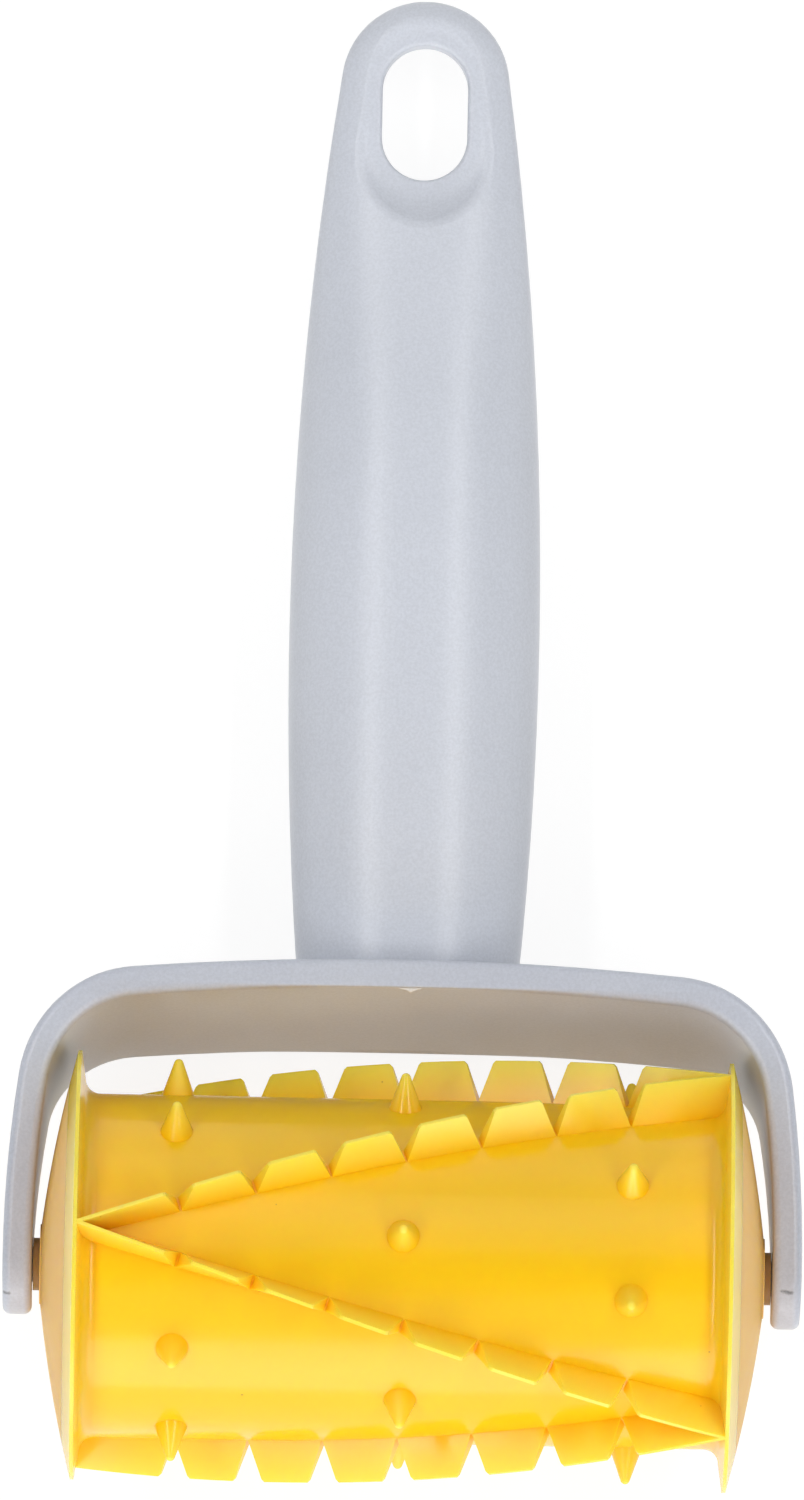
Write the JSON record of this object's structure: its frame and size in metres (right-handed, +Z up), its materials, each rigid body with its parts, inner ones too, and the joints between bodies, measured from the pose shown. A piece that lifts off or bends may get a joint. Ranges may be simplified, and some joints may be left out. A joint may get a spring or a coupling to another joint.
{
  "type": "dough docker",
  "caption": "Hand roller with cutting discs, serrated zigzag blades and docking spikes on a barrel that spins in a U-shaped yoke, and a bent tapered handle with a hanging eye.",
  "frame": {"origin": "centre of the bounding box's base, on the table that the tool lies on, as it rests on the rims of its two discs and on the back of its handle", "axes": "+X along the roller's axis, +Y from the roller to the end of the handle along the table, +Z up, which is the front of the handle"},
  "size_m": [0.1078, 0.2014, 0.058],
  "materials": {
    "grey_plastic": "fine matte moulded polypropylene in a cool light grey",
    "yellow_plastic": "glossy moulded plastic in a warm yellow, slightly translucent at thin edges"
  },
  "bodies": {
    "frame": {"yoke": "grey_plastic", "handle": "grey_plastic"},
    "roller": {"roller_barrel": "yellow_plastic", "left_end_cap": "yellow_plastic", "right_end_cap": "yellow_plastic"}
  },
  "joints": [
    {"name": "roller_spin", "type": "hinge", "parent": "frame", "child": "roller", "pos_m": [0, -0.07168, 0.029], "axis": [1, 0, 0], "continuous": true}
  ]
}
